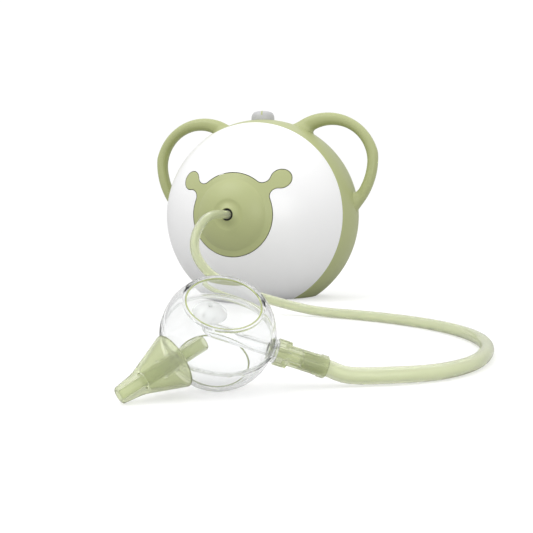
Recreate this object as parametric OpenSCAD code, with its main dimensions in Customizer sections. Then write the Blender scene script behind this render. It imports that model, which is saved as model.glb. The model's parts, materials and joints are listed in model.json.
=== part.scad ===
// Mains-powered nasal aspirator: ball-shaped suction unit with ear handles, silicone hose and collector head.
// Frame: origin on the standing face, on the plane where the front and back shells meet.
// +X is to the right seen from the front, the face looks towards -Y, +Z is up. Millimetres.

/* [Housing] */
// Radius of the ball that the housing is cut from
body_r = 93.5; // [90:0.5:96]
// Height of the ball's centre above the standing face
centre_z = 77.5; // [75:0.5:80]
// Distance of the ball's centre behind the plane where the shells meet
ball_y = 34; // [32:0.5:36]
// Distance of the flat back behind the plane where the shells meet
back_y = 68; // [66:0.5:70]
// Rounding between the ball and the flat back
back_round = 16; // [14:0.5:17]
// Wall thickness of the moulded shells
wall = 2.4; // [2:0.1:3]
// Gap between the rims of the two shells
shut_gap = 0.4; // [0.2:0.1:0.6]
// Height of the shells' underside above the standing face
pad_proud = 0.6; // [0.4:0.1:1]

/* [Face plate] */
// Radius of the round part of the face plate
plate_r = 36.6; // [35:0.1:38]
// Sideways distance of each eye lobe from the middle
eye_x = 41.8; // [41:0.1:43]
// Height of each eye lobe above the plate's middle
eye_up = 31.2; // [30.5:0.1:32]
// Radius of each eye lobe
eye_r = 8.2; // [7.5:0.1:8.6]
// Radius of the hollow blend between an eye lobe and the plate
eye_blend = 7; // [6:0.5:8]
// Gap between the plate's edge and the front shell
plate_gap = 0.35; // [0.2:0.05:0.5]
// How far the suction port's mouth stands in front of the parting plane
port_front = 65.8; // [64:0.1:67]
// Radius of the hole that the port ring sits in
port_hole_r = 5.3; // [5:0.1:5.6]

/* [Ear handles] */
// Depth of an ear handle, front to back
ear_depth = 13; // [11:0.5:15]

/* [Knob] */
// Radius of the suction knob
knob_r = 11.35; // [10.5:0.05:11.6]
// Height of the suction knob
knob_h = 9.3; // [8:0.1:10]

/* [Hose] */
// Outer diameter of the silicone hose
hose_d = 7.2; // [7:0.1:7.4]

/* [Collector head] */
// Outer radius of the clear globe
globe_r = 23.5; // [23:0.1:24]
// Wall of the clear globe
globe_wall = 1.4; // [1.2:0.1:1.6]
// Distance of each flat window from the globe's middle
window_z = 16.5; // [16:0.1:17]
// Angle between the nose cone and the hose spout round the globe's axis
spout_turn = 132.5; // [125:0.5:140]
// How far both spouts slope below the globe's joint plane
spout_drop = 10; // [9:0.5:12]
// Distance of the nose cone's tip from the globe's middle
tip_reach = 48; // [44:0.5:48]

/* [Hidden] */
$fn = 96;

green = [0.70, 0.74, 0.54];
soft_green = [0.80, 0.85, 0.62];
clear = [0.90, 0.92, 0.93, 0.35];
inner_r = body_r - wall;
floor_top = 4;
pad_r = 34;
pad_y = 30;
screw_x = 56;
screw_up = 44;
ear_y = 34;
motor_z = 58;
motor_y = 34;
mount_x = [-28, 30];
mount_y = [18, 43];
crank_x = 30;
crank_throw = 1.5;
pump_top = 92;
pump_x = 16;
pump_w = 28;
pump_d = 40;
pump_screw_x = [19, 41];
pump_screw_y = [17, 51];
outlet_y = 44;
knob_base = 170.2;
mark_turn = 12;
knob_seat_r = 12.4;
vent_x = 22;
vent_z = 34;
inlet_x = -30;
inlet_z = 30;
pin_x = 4.4;
slot_pitch = 5;
head_pos = [117, -381, 23.2];
head_turn = [-32.5, 16.5, 239];
neck_r = 4.1;
tube_r = 2.9;
hose_r = hose_d / 2;
riser_back = 5;
connector_in = 24.9;
connector_out = 47;
hose_stop = 36;
hose_sides = 12;

// Centre line of the hose, from the suction port round to the collector head's connector
hose_route = [
    [0, -57, 77.5], [0, -66, 77.5], [0, -80, 77.5], [0, -93.5, 77], [0, -104.5, 75.3],
    [-0.2, -114, 72.4], [-0.7, -122, 67.7], [-1.3, -128.8, 61.1], [-0.6, -133.4, 53.1], [2.1, -135.8, 45],
    [6.9, -136.3, 37.6], [13.2, -135.2, 31], [21.2, -133, 25.5], [30.6, -130.3, 20.7], [40.5, -127.5, 16.5],
    [51, -124.5, 13.1], [64, -122.5, 9.6], [77, -122.5, 6.7], [91, -124.5, 4.6], [106, -128.5, 3.7],
    [121, -133.5, 3.6], [137, -140.5, 3.6], [153, -149.5, 3.6], [169, -161, 3.6], [184, -175, 3.6],
    [197, -191.5, 3.6], [207.5, -211, 3.6], [215, -233, 3.6], [218.5, -256, 3.6], [218.5, -279, 3.6],
    [215.5, -301, 3.6], [209, -320, 3.6], [199, -335.5, 3.6], [184.5, -347.8, 3.9]
];

// ---------- shared shapes ----------

// Points along an arc in the plane, from angle a0 to angle a1
function arc_points(cx, cy, r, a0, a1, n) = [
    for (i = [0:n]) [cx + r * cos(a0 + (a1 - a0) * i / n), cy + r * sin(a0 + (a1 - a0) * i / n)]
];

// Forward reach of the ball's surface at radius r from the face axis
function ball_front(r, ball) = sqrt(ball * ball - r * r) - ball_y;

// The face axis: local +Z looks out of the face, local +Y is up
module face_axis() {
    translate([0, 0, centre_z]) rotate([90, 0, 0]) children();
}

// The collector globe's own frame: local +Z is the axis through its two windows
module head_frame() {
    translate(head_pos) rotate(head_turn) children();
}

// A spout on the globe: local +Z points out along the spout
module spout_frame(turn) {
    head_frame() rotate([0, 0, turn]) rotate([0, 90 + spout_drop, 0]) children();
}

module tube(outer, inner, h) {
    difference() {
        cylinder(r = outer, h = h);
        translate([0, 0, -1]) cylinder(r = inner, h = h + 2);
    }
}

// Solid of the housing's front part, moved in by inset, reaching back past the parting plane by reach
module front_solid(inset, reach) {
    ball = body_r - inset;
    rim = acos((ball_y - reach) / ball);
    face_axis() rotate_extrude() polygon(concat(
        [[0, -reach]],
        [for (p = arc_points(0, -ball_y, ball, 90 - rim, 90, 24)) [max(p[0], 0), p[1]]]
    ));
}

// Solid of the housing's back part, moved in by inset, starting at start behind the parting plane
module back_solid(inset, start) {
    ball = body_r - inset;
    bend = back_round - inset;
    bend_y = back_y - back_round;
    bend_r = sqrt(pow(body_r - back_round, 2) - pow(bend_y - ball_y, 2));
    meet = atan2(bend_y - ball_y, bend_r);
    first = asin((start - ball_y) / ball);
    face_axis() mirror([0, 0, 1]) rotate_extrude() polygon(concat(
        [[0, start]],
        arc_points(0, ball_y, ball, first, meet, 20),
        [
            for (p = arc_points(bend_r, bend_y, bend, meet, 90, 10))
            if (p[1] > bend_y + bend * sin(meet) + 0.01) p
        ],
        [[0, bend_y + bend]]
    ));
}

module above(z) {
    translate([-150, -150, z]) cube([300, 300, 300]);
}

// The ball itself, used to trim what meets the housing
module ball(r) {
    translate([0, ball_y, centre_z]) sphere(r);
}

// Outline of the face plate with its two eye lobes and their hollow blends, grown by grow
module plate_outline(grow) {
    reach = norm([eye_x, eye_up]);
    lean = atan2(eye_up, eye_x);
    a = plate_r + eye_blend;
    b = eye_r + eye_blend;
    open = acos((a * a + reach * reach - b * b) / (2 * a * reach));
    circle(plate_r + grow);
    for (side = [0, 1]) mirror([side, 0]) {
        translate([eye_x, eye_up]) circle(eye_r + grow);
        difference() {
            polygon([
                [0, 0],
                [a * cos(lean - open), a * sin(lean - open)],
                [eye_x, eye_up],
                [a * cos(lean + open), a * sin(lean + open)]
            ]);
            for (s = [-1, 1]) {
                translate([a * cos(lean + s * open), a * sin(lean + s * open)]) circle(eye_blend - grow);
            }
        }
    }
}

module at_shell_screws() {
    for (x = [-screw_x, screw_x]) for (up = [-screw_up, screw_up]) {
        face_axis() translate([x, up, 0]) children();
    }
}

// ---------- housing ----------

module front_shell() {
    color("white") difference() {
        union() {
            difference() {
                intersection() {
                    front_solid(0, -shut_gap / 2);
                    above(pad_proud);
                }
                intersection() {
                    front_solid(wall, 5);
                    above(floor_top);
                }
            }
            intersection() {
                front_solid(wall / 2, -0.6);
                at_shell_screws() cylinder(r = 4.2, h = 60);
            }
        }
        face_axis() linear_extrude(100) plate_outline(plate_gap);
        translate([0, pad_y, 0]) cylinder(r = pad_r + 0.2, h = 1.2);
        at_shell_screws() translate([0, 0, -1]) cylinder(r = 1.3, h = 14);
    }
}

module back_shell() {
    color(green) difference() {
        union() {
            difference() {
                intersection() {
                    back_solid(0, shut_gap / 2);
                    above(pad_proud);
                }
                intersection() {
                    back_solid(wall, -1);
                    above(floor_top);
                }
            }
            // Rabbet that locates the front shell
            intersection() {
                face_axis() translate([0, 0, -2.3]) union() {
                    tube(82.8, 80.8, 5.3);
                    tube(85.8, 80.8, 1.8);
                }
                above(floor_top + 0.2);
            }
            intersection() {
                back_solid(wall / 2, 0.4);
                at_shell_screws() translate([0, 0, -80]) cylinder(r = 5, h = 79.6);
            }
            // Seat under the knob
            intersection() {
                ball(inner_r + 1);
                translate([0, ball_y, 164]) cylinder(r = 15, h = 10);
            }
        }
        at_shell_screws() {
            translate([0, 0, -80]) cylinder(r = 1.6, h = 81);
            translate([0, 0, -80]) cylinder(r = 3.4, h = 70);
        }
        translate([0, pad_y, 0]) cylinder(r = pad_r + 0.2, h = 1.2);
        translate([0, ball_y, knob_base - 0.5]) cylinder(r = knob_seat_r, h = 20);
        translate([0, ball_y, 150]) cylinder(r = 4.6, h = 30);
        // Cooling slots in the back
        for (i = [-3:3]) translate([vent_x + i * slot_pitch - 1.2, 60, vent_z]) cube([2.4, 20, 26]);
        // Opening for the mains inlet
        translate([inlet_x - 10.2, 60, inlet_z - 6.2]) cube([20.4, 20, 12.4]);
    }
}

// Loop handle standing on the housing like an ear, in the plane of the ball's widest section
module ear_loop() {
    translate([0, ear_y + ear_depth / 2, 0]) rotate([90, 0, 0]) linear_extrude(ear_depth) difference() {
        intersection() {
            translate([63, 124.3]) circle(51.3);
            translate([43.2, 131.3]) circle(69.8);
        }
        intersection() {
            translate([67.6, 128.3]) circle(35.5);
            translate([0, 128.3]) square([200, 60]);
        }
        intersection() {
            translate([50, 130.3]) circle(53);
            translate([60, 0]) square([100, 128.4]);
        }
    }
}

// One handle trimmed to the ball; the left one is its mirror image
module ear_handle() {
    difference() {
        ear_loop();
        ball(body_r);
    }
}

module ear_handle_right() {
    color(green) ear_handle();
}

module ear_handle_left() {
    color(green) mirror([1, 0, 0]) ear_handle();
}

// Crowned plate that rises inside dome_edge to a snout with a shallow dish round the suction port
module face_plate() {
    back = body_r - 3;
    edge = 62;
    dome_edge = 31.6;
    face = concat(
        [for (i = [0:14]) let (r = edge - (edge - dome_edge) * i / 14) [r, ball_front(r, body_r)]],
        [
            [dome_edge - 0.6, ball_front(dome_edge - 0.6, body_r) + 0.35], [29, ball_front(29, body_r) + 1.5],
            [26.8, ball_front(26.8, body_r) + 2.45], [24, ball_front(24, body_r) + 3.35],
            [21, ball_front(21, body_r) + 4.05], [18, ball_front(18, body_r) + 4.55],
            [15.5, ball_front(15.5, body_r) + 4.85], [13.4, ball_front(13.4, body_r) + 4.95],
            [11, ball_front(11, body_r) + 4.5], [9, ball_front(9, body_r) + 4.7],
            [6.6, 65.1], [6, 65.7], [port_hole_r, port_front],
            [port_hole_r, 48], [port_hole_r + 2, 48], [port_hole_r + 2, ball_front(port_hole_r + 2, back)]
        ],
        [for (i = [0:14]) let (r = 12 + (edge - 12) * i / 14) [r, ball_front(r, back)]]
    );
    color(green) intersection() {
        face_axis() rotate_extrude() polygon(face);
        face_axis() translate([0, 0, 20]) linear_extrude(80) plate_outline(0);
    }
}

// Non-slip pad that the unit stands on
module base_pad() {
    color([0.35, 0.37, 0.34]) translate([0, pad_y, 0]) cylinder(r = pad_r, h = 1.2);
}

module shell_screws() {
    color("silver") at_shell_screws() {
        translate([0, 0, -10]) cylinder(r = 1.25, h = 22);
        difference() {
            translate([0, 0, -12.4]) cylinder(r = 3, h = 2.4);
            for (a = [0, 90]) rotate([0, 0, a]) translate([-2, -0.4, -12.5]) cube([4, 0.8, 1.2]);
        }
    }
}

// ---------- suction port and hose ----------

module port_ring() {
    color([0.12, 0.12, 0.12]) face_axis() difference() {
        translate([0, 0, 52]) cylinder(r = port_hole_r - 0.05, h = 11.5);
        translate([0, 0, 57]) cylinder(r = hose_r + 0.1, h = 10);
        translate([0, 0, 51]) cylinder(r = 3.1, h = 10);
    }
}

module port_spigot() {
    color([0.85, 0.85, 0.83]) face_axis() difference() {
        union() {
            translate([0, 0, 34]) cylinder(r = 3, h = 23);
            translate([0, 0, 45.5]) cylinder(r = 7.2, h = 1.9);
            translate([0, 0, 45.5]) cylinder(r = 5.2, h = 6.4);
            for (i = [0:2]) translate([0, 0, 36 + 2.4 * i]) cylinder(r = 3.4, h = 1.2);
        }
        translate([0, 0, 30]) cylinder(r = 1.9, h = 30);
    }
}

module port_seal() {
    color([0.2, 0.2, 0.2]) face_axis() translate([0, 0, 47.42]) tube(7.2, 5.25, 0.55);
}

// Unit vector along the hose at point i
function hose_way(p, i) = let (d = p[min(i + 1, len(p) - 1)] - p[max(i - 1, 0)]) d / norm(d);

// Point on the collector head's hose spout, s from the globe's middle
function spout_point(s) = let (
    v = [s * cos(spout_drop) * cos(spout_turn), s * cos(spout_drop) * sin(spout_turn), -s * sin(spout_drop)],
    a = head_turn[0], b = head_turn[1], c = head_turn[2],
    x1 = [v[0], v[1] * cos(a) - v[2] * sin(a), v[1] * sin(a) + v[2] * cos(a)],
    y1 = [x1[0] * cos(b) + x1[2] * sin(b), x1[1], -x1[0] * sin(b) + x1[2] * cos(b)]
) head_pos + [y1[0] * cos(c) - y1[1] * sin(c), y1[0] * sin(c) + y1[1] * cos(c), y1[2]];

function flat_to(n, way) = let (m = n - (n * way) * way) m / norm(m);

// Tube along a list of points: rings carried along the line without twisting
module swept_tube(p, r, sides) {
    count = len(p);
    sideways = [
        for (i = 0, n = flat_to([1, 0.02, 0.03], hose_way(p, 0)); i < count;
             i = i + 1, n = flat_to(n, hose_way(p, min(i, count - 1)))) n
    ];
    rings = [
        for (i = [0:count - 1]) let (u = sideways[i], v = cross(hose_way(p, i), u))
        for (k = [0:sides - 1]) p[i] + r * (cos(360 * k / sides) * u + sin(360 * k / sides) * v)
    ];
    walls = [
        for (i = [0:count - 2]) for (k = [0:sides - 1])
        let (a = i * sides + k, b = i * sides + (k + 1) % sides)
        each [[a, b, b + sides], [a, b + sides, a + sides]]
    ];
    ends = [
        [for (k = [sides - 1:-1:0]) k],
        [for (k = [0:sides - 1]) (count - 1) * sides + k]
    ];
    outward = concat(
        [for (f = walls) [f[0], f[2], f[1]]],
        [for (f = ends) [for (i = [len(f) - 1:-1:0]) f[i]]]
    );
    polyhedron(points = rings, faces = outward);
}

module hose() {
    into_connector = [spout_point(58), spout_point(47), spout_point(hose_stop)];
    color(soft_green) swept_tube(concat(hose_route, into_connector), hose_r, hose_sides);
}

module inner_suction_tube() {
    route = [
        [0, -33.95, 77.5], [0, -27, 77.5], [0, -18, 80], [3, -9, 88], [9, 0, 98], [16, 8, 108],
        [22, 15, 115], [26, 22, 117.5], [26, 29, 115], [26, 31, 111.6], [26, 31, 109.05]
    ];
    color([0.85, 0.87, 0.82]) swept_tube(route, 3, 10);
}

// ---------- control ----------

module suction_knob() {
    crown = 2.6;
    color([0.82, 0.82, 0.82]) translate([0, ball_y, knob_base]) difference() {
        rotate_extrude() polygon(concat(
            [[0, 0], [knob_r, 0], [knob_r - 0.25, knob_h - crown]],
            arc_points(knob_r - 0.25 - crown, knob_h - crown, crown, 10, 90, 8),
            [[0, knob_h]]
        ));
        translate([0, 0, -1]) tube(knob_r - 1.6, 4.4, knob_h - 0.8);
        translate([0, 0, -1]) cylinder(r = 3, h = knob_h - 1.2);
        // Slot that holds the mark
        rotate([0, 0, mark_turn]) translate([-0.75, -knob_r - 1, 4.5]) cube([1.5, 4.2, 8]);
    }
}

module knob_mark() {
    color(green) translate([0, ball_y, knob_base]) intersection() {
        rotate([0, 0, mark_turn]) translate([-0.7, -knob_r + 0.45, 4.55]) cube([1.4, 2.7, 4.6]);
        cylinder(r = knob_r - 0.4, h = knob_h);
    }
}

module control_shaft() {
    color("silver") translate([0, ball_y, 156]) cylinder(r = 2.98, h = knob_base + knob_h - 2.3 - 156);
}

module speed_control() {
    color([0.25, 0.3, 0.28]) translate([0, ball_y, 0]) difference() {
        union() {
            translate([-8, -8, 152]) cube([16, 16, 8]);
            translate([0, 0, 160]) cylinder(r = 4.3, h = 9);
            translate([-6, -11, 153]) cube([12, 3, 1]);
        }
        translate([0, 0, 155.9]) cylinder(r = 3.05, h = 20);
    }
}

module control_nut() {
    color("silver") translate([0, ball_y, 161.5]) difference() {
        cylinder(r = 7, h = 2, $fn = 6);
        translate([0, 0, -1]) cylinder(r = 4.35, h = 4);
    }
}

// ---------- chassis, motor and pump ----------

module chassis_tray() {
    color([0.3, 0.3, 0.32]) difference() {
        union() {
            translate([-52, 12, 22]) cube([104, 46, 3]);
            // Motor cradle
            for (x = [-44, -10]) translate([x, motor_y - 16, 24]) cube([6, 32, 18]);
            // Pump feet
            for (x = [17, 38]) translate([x, motor_y - 14, 24]) cube([5, 28, 8.9]);
        }
        translate([-60, motor_y, motor_z]) rotate([0, 90, 0]) cylinder(r = 20.05, h = 68);
        for (x = mount_x) for (y = mount_y) translate([x, y, 20]) cylinder(r = 3.1, h = 6);
        // Notch round the mains inlet
        translate([inlet_x - 11, 49, 20]) cube([22, 12, 8]);
    }
}

// Rubber feet that keep the pump's shake out of the shell
module chassis_mounts() {
    color([0.15, 0.15, 0.15]) for (x = mount_x) for (y = mount_y) translate([x, y, 0]) {
        translate([0, 0, floor_top]) cylinder(r = 5, h = 22 - floor_top);
        translate([0, 0, 22]) cylinder(r = 3, h = 3);
        translate([0, 0, 25]) cylinder(r = 4.4, h = 2);
    }
}

module along_shaft(x) {
    translate([x, motor_y, motor_z]) rotate([0, 90, 0]) children();
}

module motor_can() {
    color("silver") difference() {
        along_shaft(-46) cylinder(r = 20, h = 54);
        along_shaft(-47) cylinder(r = 18.6, h = 53);
        along_shaft(0) cylinder(r = 5.05, h = 12);
        for (a = [45:90:315]) {
            along_shaft(0) rotate([0, 0, a]) translate([12, 0, 0]) cylinder(r = 2.4, h = 12);
        }
    }
}

module motor_endcap() {
    color([0.2, 0.2, 0.2]) difference() {
        union() {
            along_shaft(-48) cylinder(r = 20, h = 2);
            along_shaft(-46) tube(18.5, 16.8, 4);
            along_shaft(-46) cylinder(r = 7, h = 5);
        }
        along_shaft(-50) cylinder(r = 5.05, h = 12);
    }
}

module motor_bearings() {
    color("silver") for (x = [-46, 3]) along_shaft(x) tube(5, 2.05, 4.6);
}

module motor_magnets() {
    color([0.2, 0.2, 0.22]) for (a = [0, 180]) along_shaft(-38) rotate([0, 0, a]) intersection() {
        tube(18.5, 14.6, 34);
        translate([-9, 0, -1]) cube([18, 30, 40]);
    }
}

module motor_armature() {
    color([0.6, 0.35, 0.2]) along_shaft(-37) difference() {
        union() {
            cylinder(r = 14, h = 32);
            translate([0, 0, 32]) cylinder(r = 8, h = 3);
            translate([0, 0, -3]) cylinder(r = 7, h = 3);
        }
        for (a = [0:45:315]) rotate([0, 0, a]) translate([10, -1, -1]) cube([6, 2, 34]);
        translate([0, 0, -5]) cylinder(r = 2, h = 50);
    }
}

module motor_shaft() {
    color("silver") along_shaft(-66) cylinder(r = 2, h = 66 + crank_x + 5);
}

module cooling_fan() {
    color([0.2, 0.2, 0.2]) along_shaft(-62) difference() {
        union() {
            cylinder(r = 6, h = 9);
            cylinder(r = 17, h = 1.4);
            for (a = [0:40:320]) rotate([0, 0, a]) translate([4, -0.7, 0]) cube([13, 1.4, 9]);
        }
        translate([0, 0, -1]) cylinder(r = 2, h = 12);
    }
}

// Disc whose centre runs crank_throw off the shaft's own axis
module crank_eccentric() {
    color("silver") difference() {
        union() {
            translate([0, 0, crank_throw]) along_shaft(crank_x - 3) cylinder(r = 4, h = 6);
            along_shaft(crank_x - 5) cylinder(r = 3.6, h = 2);
        }
        along_shaft(crank_x - 10) cylinder(r = 2, h = 20);
    }
}

module crank_bearing() {
    color("silver") translate([0, 0, crank_throw]) along_shaft(crank_x - 2.5) tube(7, 4, 5);
}

module pump_housing() {
    color([0.35, 0.35, 0.38]) difference() {
        union() {
            translate([pump_x, motor_y - pump_d / 2, 33]) cube([pump_w, pump_d, pump_top - 33]);
            translate([12, motor_y, motor_z]) rotate([0, 90, 0]) cylinder(r = 10, h = 6);
        }
        // Crank chamber, rod way and shaft hole
        translate([22, motor_y, motor_z]) rotate([0, 90, 0]) cylinder(r = 15, h = 30);
        translate([24, motor_y - 9, motor_z]) cube([12, 18, pump_top - motor_z + 1]);
        translate([30, motor_y, pump_top - 8]) cylinder(r = 13.2, h = 9);
        along_shaft(8) cylinder(r = 4, h = 20);
    }
}

// Rod with a big end that clears the crank bearing at every turn of the shaft
module connecting_rod() {
    small_end = pump_top - 7.2;
    color([0.85, 0.85, 0.82]) {
        difference() {
            union() {
                along_shaft(crank_x - 2) cylinder(r = 13, h = 4);
                translate([crank_x - 2, motor_y - 3, motor_z + 11]) cube([4, 6, small_end - motor_z - 11]);
                translate([crank_x, motor_y, small_end]) cylinder(r = 5, h = 2);
            }
            along_shaft(crank_x - 3) cylinder(r = 10.6, h = 6);
        }
    }
}

// The moving middle of the rubber diaphragm
module diaphragm() {
    color([0.15, 0.15, 0.15]) translate([crank_x, motor_y, pump_top - 5.2]) cylinder(r = 12.8, h = 1.4);
}

module diaphragm_clamp() {
    color("silver") translate([crank_x, motor_y, pump_top - 3.8]) cylinder(r = 5, h = 1.2);
}

module valve_plate() {
    color([0.85, 0.85, 0.82]) translate([pump_x, motor_y - pump_d / 2, pump_top]) difference() {
        cube([pump_w, pump_d, 4]);
        for (y = [14, 26]) for (x = [11.5, 16.5]) translate([x, y, -1]) cylinder(r = 1, h = 6);
        for (x = pump_screw_x) for (y = pump_screw_y) {
            translate([x - pump_x, y - motor_y + pump_d / 2, -1]) cylinder(r = 1.6, h = 6);
        }
    }
}

module reed_valves() {
    color([0.3, 0.3, 0.3]) {
        translate([26, motor_y - 9, pump_top - 0.5]) cube([8, 6, 0.5]);
        translate([26, motor_y + 3, pump_top + 4]) cube([8, 6, 0.5]);
    }
}

module pump_head() {
    color([0.35, 0.35, 0.38]) difference() {
        union() {
            translate([pump_x, motor_y - pump_d / 2, pump_top + 4]) cube([pump_w, pump_d, 10]);
            translate([26, 31, pump_top + 14]) cylinder(r = 3.2, h = 3);
            translate([pump_x + pump_w, outlet_y, pump_top + 9]) rotate([0, 90, 0]) cylinder(r = 3, h = 6);
        }
        translate([22, motor_y - 11, pump_top + 3]) cube([16, 10, 7]);
        translate([22, motor_y + 1.5, pump_top + 3]) cube([16, 10.5, 7]);
        translate([26, 31, pump_top + 9]) cylinder(r = 1.8, h = 12);
        translate([36, outlet_y, pump_top + 9]) rotate([0, 90, 0]) cylinder(r = 1.8, h = 20);
        for (x = pump_screw_x) for (y = pump_screw_y) translate([x, y, pump_top]) cylinder(r = 1.6, h = 20);
    }
}

module pump_screws() {
    color("silver") for (x = pump_screw_x) for (y = pump_screw_y) translate([x, y, 0]) {
        translate([0, 0, pump_top + 0.05]) cylinder(r = 1.5, h = 14);
        translate([0, 0, pump_top + 14]) cylinder(r = 2.8, h = 2);
    }
}

module exhaust_tube() {
    route = [
        [50.1, outlet_y, 101], [54, outlet_y, 101], [59, outlet_y, 99],
        [63, outlet_y, 94], [64.5, outlet_y, 88], [64.5, outlet_y, 80.1]
    ];
    color([0.85, 0.87, 0.82]) swept_tube(route, 3, 10);
}

module exhaust_muffler() {
    color([0.3, 0.3, 0.32]) difference() {
        translate([53, 32, 40]) cube([20, 22, 40]);
        translate([55, 34, 42]) cube([16, 18, 36]);
        translate([64.5, outlet_y, 70]) cylinder(r = 2, h = 20);
        translate([63, 50, 45]) rotate([-90, 0, 0]) cylinder(r = 2.5, h = 10);
    }
}

// Foam behind the cooling slots
module vent_filter() {
    color([0.25, 0.25, 0.25]) translate([vent_x - 20, 61.5, vent_z - 3]) cube([40, 4, 32]);
}

// ---------- electrics ----------

module circuit_board() {
    color([0.1, 0.4, 0.25]) difference() {
        translate([-48, 60, 72]) cube([62, 1.6, 62]);
        for (x = [-45, 11]) for (z = [75, 131]) {
            translate([x, 58, z]) rotate([-90, 0, 0]) cylinder(r = 1.6, h = 6);
        }
    }
}

module transformer() {
    color([0.85, 0.8, 0.3]) {
        translate([-46, 44, 80]) cube([24, 16, 22]);
        translate([-43, 41, 84]) cube([18, 3, 14]);
    }
}

module capacitors() {
    color([0.1, 0.1, 0.3]) for (x = [-12, 0]) {
        translate([x, 60, 86]) rotate([90, 0, 0]) cylinder(r = 5, h = 16);
    }
}

module heat_sink() {
    color("silver") {
        translate([-46, 57, 110]) cube([22, 3, 18]);
        for (i = [0:4]) translate([-46 + i * 5, 47, 110]) cube([2, 10, 18]);
    }
}

// Recessed two-pin appliance inlet in the back
module mains_inlet() {
    color([0.1, 0.1, 0.1]) difference() {
        union() {
            translate([inlet_x - 10, 50, inlet_z - 6]) cube([20, back_y - 50, 12]);
            translate([inlet_x - 13, 61.4, inlet_z - 9]) cube([26, 4, 18]);
        }
        hull() for (x = [-pin_x, pin_x]) {
            translate([inlet_x + x, 53, inlet_z]) rotate([-90, 0, 0]) cylinder(r = 4.2, h = 20, $fn = 32);
        }
        for (x = [-pin_x, pin_x]) {
            translate([inlet_x + x, 49, inlet_z]) rotate([-90, 0, 0]) cylinder(r = 1.2, h = 6);
        }
    }
}

module inlet_pins() {
    color("silver") for (x = [-pin_x, pin_x]) translate([inlet_x + x, 46, inlet_z]) rotate([-90, 0, 0]) {
        cylinder(r = 1.2, h = 19);
    }
}

module mains_leads() {
    color([0.5, 0.3, 0.2]) for (x = [inlet_x - pin_x, inlet_x + pin_x]) {
        swept_tube([
            [x, 45.8, 30], [x, 43.4, 30.4], [x, 42.4, 33.2], [x, 46, 37.5], [x, 52.5, 42.5],
            [x, 57, 51], [x, 58, 62], [x, 58, 70], [x, 58.5, 74], [x, 58.9, 76.5]
        ], 1, 8);
    }
}

module motor_leads() {
    color([0.7, 0.15, 0.15]) for (s = [-1, 1]) {
        swept_tube([
            [-48.5, motor_y + 4 * s, motor_z + 14], [-50, motor_y + 4 * s, 73],
            [-51, motor_y + 6 + 4 * s, 79], [-50, 48 + 3 * s, 88], [-47.5, 54 + s, 98 - 4 * s],
            [-47.1, 57.8, 102 - 4 * s], [-47.1, 59.8, 102.3 - 4 * s]
        ], 0.9, 8);
    }
}

module control_leads() {
    color([0.9, 0.9, 0.85]) for (i = [-1, 0, 1]) {
        swept_tube([
            [3 * i, ball_y - 9.5, 152.9], [3 * i, ball_y - 10, 148], [2 * i - 6, ball_y - 2, 142],
            [2 * i - 12, ball_y + 14, 138], [2 * i - 14, ball_y + 23, 133], [2 * i - 14, ball_y + 25.15, 126]
        ], 0.8, 8);
    }
}

// ---------- collector head ----------

// Half of the clear globe between two heights, with a flat window at window_z
module globe_half(low, high, band_low, band_high, band_proud) {
    difference() {
        intersection() {
            union() {
                sphere(globe_r);
                translate([0, 0, band_low]) cylinder(r = globe_r + band_proud, h = band_high - band_low);
            }
            translate([0, 0, low]) cylinder(r = 40, h = high - low);
        }
        intersection() {
            sphere(globe_r - globe_wall);
            translate([0, 0, -window_z + globe_wall]) cylinder(r = 40, h = 2 * (window_z - globe_wall));
        }
    }
}

module collector_bowl() {
    color(clear) difference() {
        union() {
            head_frame() difference() {
                globe_half(-window_z, -0.5, -2.4, -0.5, 0.6);
                translate([0, 0, -window_z - 1]) cylinder(r = 15.4, h = 1.5);
            }
            spout_frame(0) translate([0, 0, 21.2]) cylinder(r = neck_r, h = 7.8);
            spout_frame(spout_turn) {
                translate([0, 0, 21.4]) cylinder(r = 4.6, h = 2.6);
            }
        }
        spout_frame(0) cylinder(r = tube_r + 0.15, h = 40);
        spout_frame(spout_turn) cylinder(r = tube_r, h = 40);
        // Level top of the rim, where the seal and the cap sit
        head_frame() translate([0, 0, -0.52]) cylinder(r = globe_r + 0.8, h = 8);
    }
}

module collector_cap() {
    color(clear) head_frame() difference() {
        globe_half(0.5, window_z, 0.5, 2.4, 0.1);
        translate([0, 0, window_z - 0.5]) cylinder(r = 15.4, h = 2);
    }
}

module cap_seal() {
    color([0.92, 0.93, 0.9]) head_frame() translate([0, 0, -0.5]) tube(globe_r, globe_r - globe_wall, 1);
}

// Clear pipe from the hose spout to the middle of the globe, turned up into the cap
module outlet_tube() {
    color(clear) difference() {
        union() {
            spout_frame(spout_turn) translate([0, 0, -riser_back]) cylinder(r = tube_r, h = 24 + riser_back);
            spout_frame(spout_turn) translate([0, 0, -riser_back]) sphere(tube_r);
            head_frame() rotate([0, 0, spout_turn]) {
                translate([-riser_back, 0, 1]) cylinder(r = tube_r, h = 6);
            }
        }
        spout_frame(spout_turn) translate([0, 0, 0.5 - riser_back]) cylinder(r = 2, h = 40);
        head_frame() rotate([0, 0, spout_turn]) translate([-riser_back, 0, 0.5]) cylinder(r = 2, h = 8);
    }
}

// Umbrella over the turned-up end, which keeps liquid out of the hose
module baffle_cup() {
    color(clear) head_frame() rotate([0, 0, spout_turn]) translate([-riser_back, 0, 0]) {
        difference() {
            translate([0, 0, 4.5]) sphere(8.8);
            translate([0, 0, 4.5]) sphere(7.7);
            translate([0, 0, -20]) cylinder(r = 20, h = 29.4);
        }
        translate([0, 0, 12.1]) cylinder(r = 1, h = 2);
        for (a = [0, 120, 240]) rotate([0, 0, a]) translate([2.05, -0.5, 7]) cube([0.8, 1, 4.9]);
    }
}

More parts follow.
